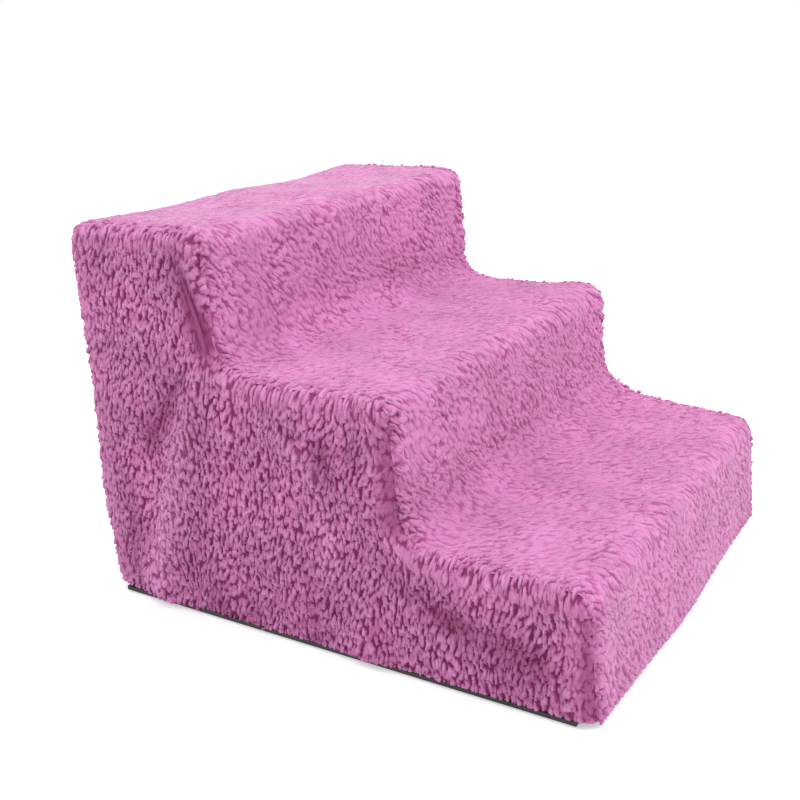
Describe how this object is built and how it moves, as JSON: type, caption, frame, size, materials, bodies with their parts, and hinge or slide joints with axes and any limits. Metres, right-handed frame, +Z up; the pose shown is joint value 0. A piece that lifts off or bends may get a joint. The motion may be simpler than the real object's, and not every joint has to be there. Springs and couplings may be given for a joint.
{
  "type": "pet stairs",
  "caption": "Low stepped stairs for small pets: a snap-together ribbed plastic frame on rubber feet under a slip-on plush fleece cover that lifts straight off for washing.",
  "frame": {"origin": "on the floor, under the middle of the whole object's bounding box", "axes": "+Z up, the lowest step faces -Y, X runs across the steps"},
  "size_m": [0.372, 0.45, 0.316],
  "materials": {
    "pink_fleece": "clumped plush pile, matt",
    "binding_tape": "plain woven tape",
    "black_plastic": "fine moulded texture",
    "rivet_plastic": "smooth moulded",
    "foot_rubber": "matt",
    "hook_tape": "hook tape",
    "loop_tape": "loop tape"
  },
  "bodies": {
    "frame": {"back_rail_lower": "black_plastic", "back_rail_upper": "black_plastic", "base_rail": "black_plastic", "hook_patches": "hook_tape", "riser_lower": "black_plastic", "riser_middle": "black_plastic", "riser_upper": "black_plastic", "rubber_feet": "foot_rubber", "side_panel_left": "black_plastic", "side_panel_right": "black_plastic", "snap_rivets": "rivet_plastic", "tread_lower": "black_plastic", "tread_middle": "black_plastic", "tread_upper": "black_plastic"},
    "cover": {"cover_back_panel": "pink_fleece", "cover_side_left": "pink_fleece", "cover_side_right": "pink_fleece", "cover_step_strip": "pink_fleece", "hem_tape": "binding_tape", "loop_patches": "loop_tape", "seam_tape_left": "binding_tape", "seam_tape_right": "binding_tape"}
  },
  "joints": [
    {"name": "cover_lift", "type": "slide", "parent": "frame", "child": "cover", "axis": [0, 0, 1], "range_m": [0, 0.34]}
  ]
}
